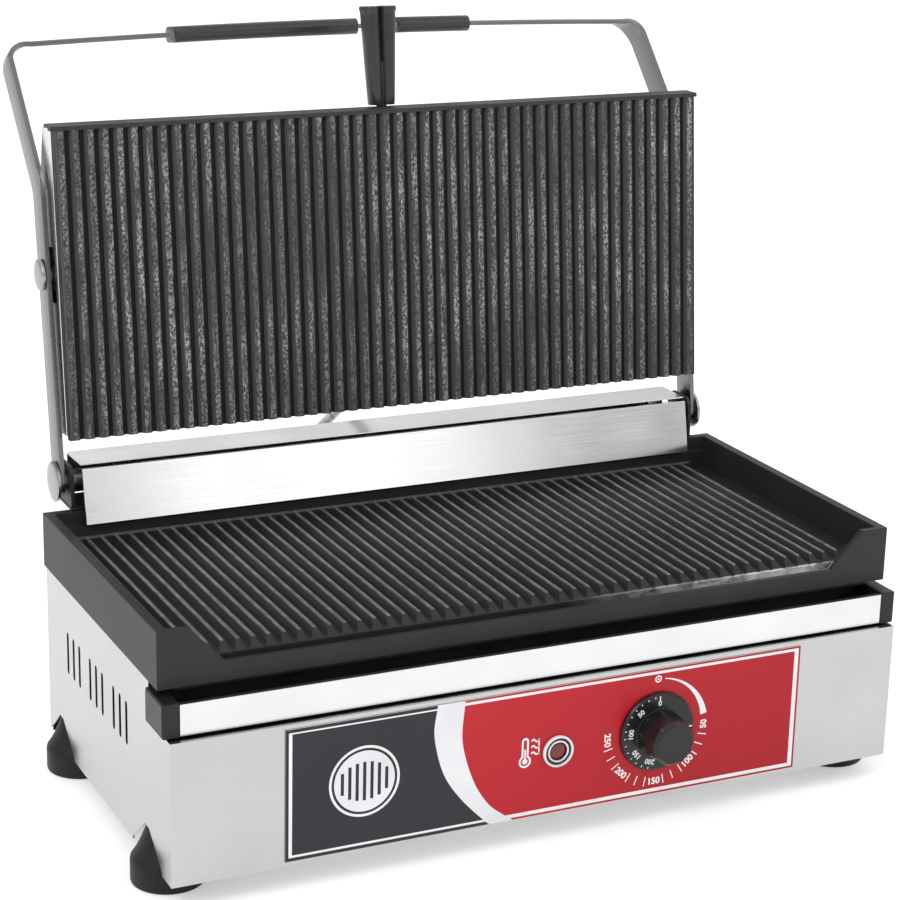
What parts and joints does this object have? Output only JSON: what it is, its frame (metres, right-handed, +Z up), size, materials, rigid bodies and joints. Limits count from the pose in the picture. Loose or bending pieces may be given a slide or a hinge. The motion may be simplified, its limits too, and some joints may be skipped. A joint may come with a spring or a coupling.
{
  "type": "panini press",
  "caption": "Wide electric contact grill: ribbed lower grill on a sheet steel housing, ribbed upper plate floating in a hinged U-shaped lever frame.",
  "frame": {"origin": "on the floor under the middle of the bounding box, lid open", "axes": "+Z up, -Y towards the user in front, +X to the user's right"},
  "size_m": [0.5406, 0.4091, 0.5056],
  "materials": {
    "stainless": "satin",
    "mirror_steel": "polished",
    "cast_iron": "satin",
    "dark_steel": "satin",
    "black_plastic": "satin",
    "rubber": "matte",
    "label_print": "gloss",
    "red_lens": "gloss",
    "element_sheath": "matte",
    "ceramic_wool": "matte",
    "spring_steel": "satin",
    "copper": "satin",
    "lead_insulation": "matte"
  },
  "bodies": {
    "base": {"housing_shell": "stainless", "rear_panel": "stainless", "bottom_cover": "stainless", "hinge_bracket_left": "stainless", "hinge_bracket_right": "stainless", "hinge_top_cover": "stainless", "conduit_gland_base": "stainless", "upper_lead_conduit": "stainless", "pilot_lamp_bezel": "stainless", "hinge_front_strip": "mirror_steel", "lower_grill_casting": "cast_iron", "hinge_base_plate": "dark_steel", "lower_element_clamp": "dark_steel", "cable_gland": "black_plastic", "thermostat_body": "black_plastic", "pilot_lamp_holder": "black_plastic", "terminal_block": "black_plastic", "foot_front_left": "rubber", "foot_front_right": "rubber", "foot_rear_left": "rubber", "foot_rear_right": "rubber", "front_label": "label_print", "pilot_lamp_lens": "red_lens", "lower_heating_element": "element_sheath", "lower_insulation": "ceramic_wool", "hinge_spring_left": "spring_steel", "hinge_spring_right": "spring_steel", "thermostat_capillary": "copper", "thermostat_bulb": "copper", "lead_element": "lead_insulation", "lead_lamp": "lead_insulation", "lead_thermostat": "lead_insulation"},
    "arm": {"hinge_shaft": "stainless", "arm_frame": "stainless", "grip_sleeve_left": "black_plastic", "grip_sleeve_right": "black_plastic", "hinge_bolt_left": "stainless", "hinge_bolt_right": "stainless"},
    "plate": {"upper_grill_casting": "cast_iron", "upper_cover": "stainless", "upper_heating_element": "element_sheath", "upper_insulation": "ceramic_wool", "centre_handle": "black_plastic", "handle_stud": "stainless", "pivot_washer_left": "stainless", "pivot_washer_right": "stainless", "conduit_gland_cover": "stainless", "plate_pivot_bolt_left": "stainless", "plate_pivot_bolt_right": "stainless"},
    "drawer": {"drawer_channel": "stainless", "drawer_end_cap_left": "black_plastic", "drawer_end_cap_right": "black_plastic"},
    "knob": {"thermostat_knob": "black_plastic", "thermostat_shaft": "stainless"}
  },
  "joints": [
    {"name": "arm_hinge", "type": "hinge", "parent": "base", "child": "arm", "pos_m": [0, 0.08695, 0.1955], "axis": [1, 0, 0], "range_deg": [0, 102.9], "deforming": ["hinge_spring_left", "hinge_spring_right", "upper_lead_conduit"]},
    {"name": "plate_tilt", "type": "hinge", "parent": "arm", "child": "plate", "pos_m": [0, 0.10852, 0.33484], "axis": [1, 0, 0], "range_deg": [-6.9, 0]},
    {"name": "drawer_slide", "type": "slide", "parent": "base", "child": "drawer", "axis": [0, -1, 0], "range_m": [0, 0.04]},
    {"name": "knob_turn", "type": "hinge", "parent": "base", "child": "knob", "pos_m": [0.075, -0.17805, 0.066], "axis": [0, 1, 0], "range_deg": [0, 270]}
  ],
  "couplings": [
    {"joint": "plate_tilt", "follows": "arm_hinge", "ratio": -0.06663}
  ]
}
